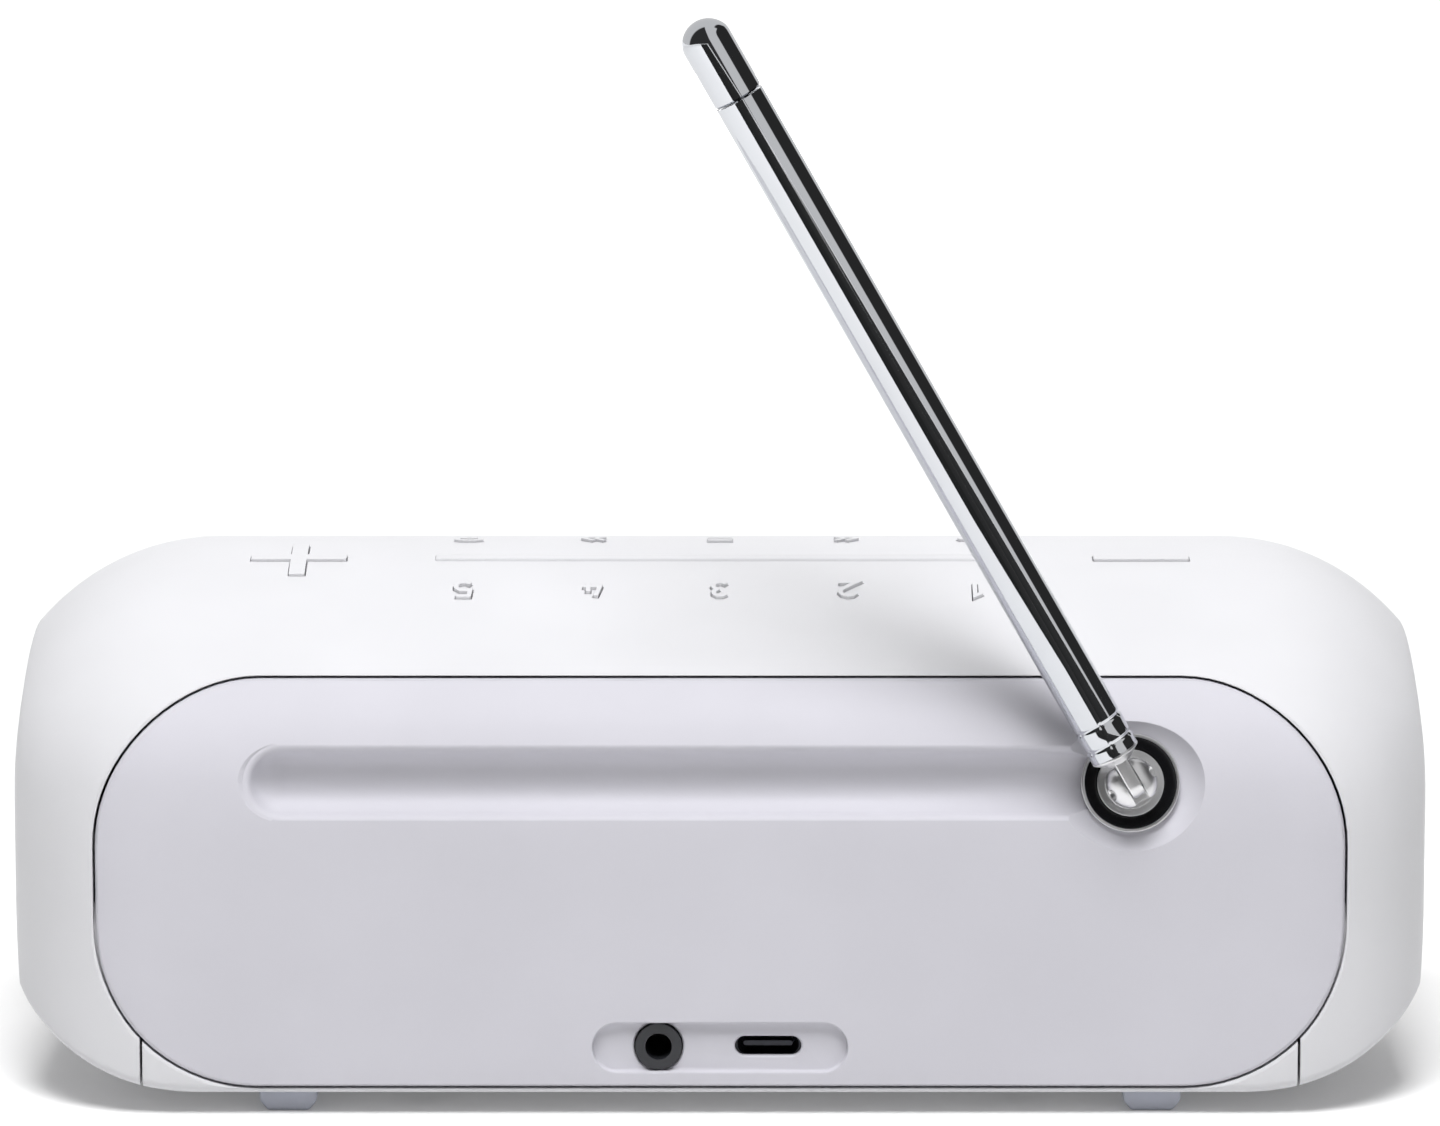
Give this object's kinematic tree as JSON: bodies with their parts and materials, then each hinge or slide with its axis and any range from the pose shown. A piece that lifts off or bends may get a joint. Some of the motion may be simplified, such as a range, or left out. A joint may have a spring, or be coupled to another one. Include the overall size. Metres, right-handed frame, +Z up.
{
  "type": "tabletop radio",
  "caption": "Portable tabletop radio with a rounded body, top keys, a swivelling telescopic antenna on the back, and charging and headphone sockets.",
  "frame": {"origin": "on the table plane, under the middle of the body", "axes": "+X towards the left end as seen from behind, +Y out of the back where the antenna and the sockets are, +Z up"},
  "size_m": [0.196, 0.0854, 0.1488],
  "materials": {
    "wrap_shell": "fine satin moulded surface",
    "base_shell": "fine satin moulded surface",
    "rear_panel": "fine spark-textured moulded surface",
    "front_baffle": "plain moulded",
    "front_grille": "powder coated perforated sheet",
    "grille_cloth": "woven acoustic cloth",
    "display_lens": "polished smoked acrylic",
    "display_module": "glass and plastic module",
    "deck_frame": "plain moulded",
    "battery_cradle": "plain moulded",
    "key_switches": "moulded",
    "tuner_shield": "tin plated",
    "usb_c_socket": "dark plated shell",
    "aux_jack": "black moulded",
    "battery_cell": null,
    "driver_frame": "black pressed steel",
    "driver_surround": "moulded roll",
    "driver_cone": "pressed paper",
    "driver_magnet": "ground ferrite and steel",
    "radiator_frame": "plain moulded",
    "radiator_surround": "moulded roll",
    "radiator_plate": "plain moulded",
    "rubber_feet": "matt grey moulded",
    "antenna_bezel": "plated ring",
    "antenna_bush": "black moulded",
    "antenna_wave_washer": "spring steel",
    "keypad_board": "solder mask over glass fibre",
    "main_board": "solder mask over glass fibre",
    "io_board": "solder mask over glass fibre",
    "base_screws": "zinc plated",
    "board_screws": "zinc plated",
    "driver_screws": "zinc plated",
    "antenna_retaining_screw": "zinc plated",
    "preset_key_1": "satin moulded symbol",
    "preset_key_2": "satin moulded symbol",
    "preset_key_3": "satin moulded symbol",
    "preset_key_4": "satin moulded symbol",
    "preset_key_5": "satin moulded symbol",
    "power_key": "satin moulded symbol",
    "previous_key": "satin moulded symbol",
    "menu_key": "satin moulded symbol",
    "next_key": "satin moulded symbol",
    "wireless_key": "satin moulded symbol",
    "volume_down_key": "satin moulded symbol",
    "volume_up_key": "satin moulded symbol",
    "antenna_swivel": "mirror plated",
    "antenna_hinge_pin": "mirror plated",
    "antenna_foot": "mirror plated",
    "antenna_tube_1": "mirror plated",
    "antenna_tube_2": "mirror plated",
    "antenna_tube_3": "mirror plated",
    "antenna_tube_4": "mirror plated",
    "antenna_rod": "mirror plated",
    "antenna_cap": "mirror plated",
    "speaker_lead": "insulated wire",
    "battery_lead": "insulated wire",
    "antenna_lead": "insulated wire"
  },
  "bodies": {
    "housing": {"wrap_shell": "wrap_shell", "base_shell": "base_shell", "rear_panel": "rear_panel", "front_baffle": "front_baffle", "front_grille": "front_grille", "grille_cloth": "grille_cloth", "display_lens": "display_lens", "display_module": "display_module", "deck_frame": "deck_frame", "keypad_board": "keypad_board", "key_switches": "key_switches", "main_board": "main_board", "tuner_shield": "tuner_shield", "io_board": "io_board", "usb_c_socket": "usb_c_socket", "aux_jack": "aux_jack", "battery_cell": "battery_cell", "battery_cradle": "battery_cradle", "driver_frame": "driver_frame", "driver_surround": "driver_surround", "driver_cone": "driver_cone", "driver_magnet": "driver_magnet", "radiator_frame": "radiator_frame", "radiator_surround": "radiator_surround", "radiator_plate": "radiator_plate", "rubber_feet": "rubber_feet", "base_screws": "base_screws", "board_screws": "board_screws", "driver_screws": "driver_screws", "antenna_bezel": "antenna_bezel", "antenna_bush": "antenna_bush", "antenna_wave_washer": "antenna_wave_washer", "speaker_lead": "speaker_lead", "battery_lead": "battery_lead", "antenna_lead": "antenna_lead"},
    "swivel": {"antenna_swivel": "antenna_swivel", "antenna_hinge_pin": "antenna_hinge_pin", "antenna_retaining_screw": "antenna_retaining_screw"},
    "antenna_arm": {"antenna_foot": "antenna_foot", "antenna_tube_1": "antenna_tube_1"},
    "section_2": {"antenna_tube_2": "antenna_tube_2"},
    "section_3": {"antenna_tube_3": "antenna_tube_3"},
    "section_4": {"antenna_tube_4": "antenna_tube_4"},
    "antenna_tip": {"antenna_rod": "antenna_rod", "antenna_cap": "antenna_cap"},
    "preset_key_1_body": {"preset_key_1": "preset_key_1"},
    "preset_key_2_body": {"preset_key_2": "preset_key_2"},
    "preset_key_3_body": {"preset_key_3": "preset_key_3"},
    "preset_key_4_body": {"preset_key_4": "preset_key_4"},
    "preset_key_5_body": {"preset_key_5": "preset_key_5"},
    "power_key_body": {"power_key": "power_key"},
    "previous_key_body": {"previous_key": "previous_key"},
    "menu_key_body": {"menu_key": "menu_key"},
    "next_key_body": {"next_key": "next_key"},
    "wireless_key_body": {"wireless_key": "wireless_key"},
    "volume_down_key_body": {"volume_down_key": "volume_down_key"},
    "volume_up_key_body": {"volume_up_key": "volume_up_key"}
  },
  "joints": [
    {"name": "antenna_turn", "type": "hinge", "parent": "housing", "child": "swivel", "pos_m": [-0.0552, 0.03727, 0.04561], "axis": [0, -0.9848, -0.1736], "range_deg": [-59.7, 120.3]},
    {"name": "antenna_tilt", "type": "hinge", "parent": "swivel", "child": "antenna_arm", "pos_m": [-0.0552, 0.03934, 0.04598], "axis": [-0.8634, -0.0876, 0.4969], "range_deg": [-11, 79]},
    {"name": "section_2_slide", "type": "slide", "parent": "antenna_arm", "child": "section_2", "axis": [0.4953, 0.0407, 0.8678], "range_m": [0, 0.088]},
    {"name": "section_3_slide", "type": "slide", "parent": "section_2", "child": "section_3", "axis": [0.4953, 0.0407, 0.8678], "range_m": [0, 0.088]},
    {"name": "section_4_slide", "type": "slide", "parent": "section_3", "child": "section_4", "axis": [0.4953, 0.0407, 0.8678], "range_m": [0, 0.088]},
    {"name": "antenna_tip_slide", "type": "slide", "parent": "section_4", "child": "antenna_tip", "axis": [0.4953, 0.0407, 0.8678], "range_m": [0, 0.088]},
    {"name": "preset_key_1_press", "type": "slide", "parent": "housing", "child": "preset_key_1_body", "axis": [0, 0, -1], "range_m": [0, 0.0004], "stiffness_N_per_m": 600},
    {"name": "preset_key_2_press", "type": "slide", "parent": "housing", "child": "preset_key_2_body", "axis": [0, 0, -1], "range_m": [0, 0.0004], "stiffness_N_per_m": 600},
    {"name": "preset_key_3_press", "type": "slide", "parent": "housing", "child": "preset_key_3_body", "axis": [0, 0, -1], "range_m": [0, 0.0004], "stiffness_N_per_m": 600},
    {"name": "preset_key_4_press", "type": "slide", "parent": "housing", "child": "preset_key_4_body", "axis": [0, 0, -1], "range_m": [0, 0.0004], "stiffness_N_per_m": 600},
    {"name": "preset_key_5_press", "type": "slide", "parent": "housing", "child": "preset_key_5_body", "axis": [0, 0, -1], "range_m": [0, 0.0004], "stiffness_N_per_m": 600},
    {"name": "power_key_press", "type": "slide", "parent": "housing", "child": "power_key_body", "axis": [0, 0, -1], "range_m": [0, 0.0004], "stiffness_N_per_m": 600},
    {"name": "previous_key_press", "type": "slide", "parent": "housing", "child": "previous_key_body", "axis": [0, 0, -1], "range_m": [0, 0.0004], "stiffness_N_per_m": 600},
    {"name": "menu_key_press", "type": "slide", "parent": "housing", "child": "menu_key_body", "axis": [0, 0, -1], "range_m": [0, 0.0004], "stiffness_N_per_m": 600},
    {"name": "next_key_press", "type": "slide", "parent": "housing", "child": "next_key_body", "axis": [0, 0, -1], "range_m": [0, 0.0004], "stiffness_N_per_m": 600},
    {"name": "wireless_key_press", "type": "slide", "parent": "housing", "child": "wireless_key_body", "axis": [0, 0, -1], "range_m": [0, 0.0004], "stiffness_N_per_m": 600},
    {"name": "volume_down_key_press", "type": "slide", "parent": "housing", "child": "volume_down_key_body", "axis": [0, 0, -1], "range_m": [0, 0.0004], "stiffness_N_per_m": 600},
    {"name": "volume_up_key_press", "type": "slide", "parent": "housing", "child": "volume_up_key_body", "axis": [0, 0, -1], "range_m": [0, 0.0004], "stiffness_N_per_m": 600}
  ]
}
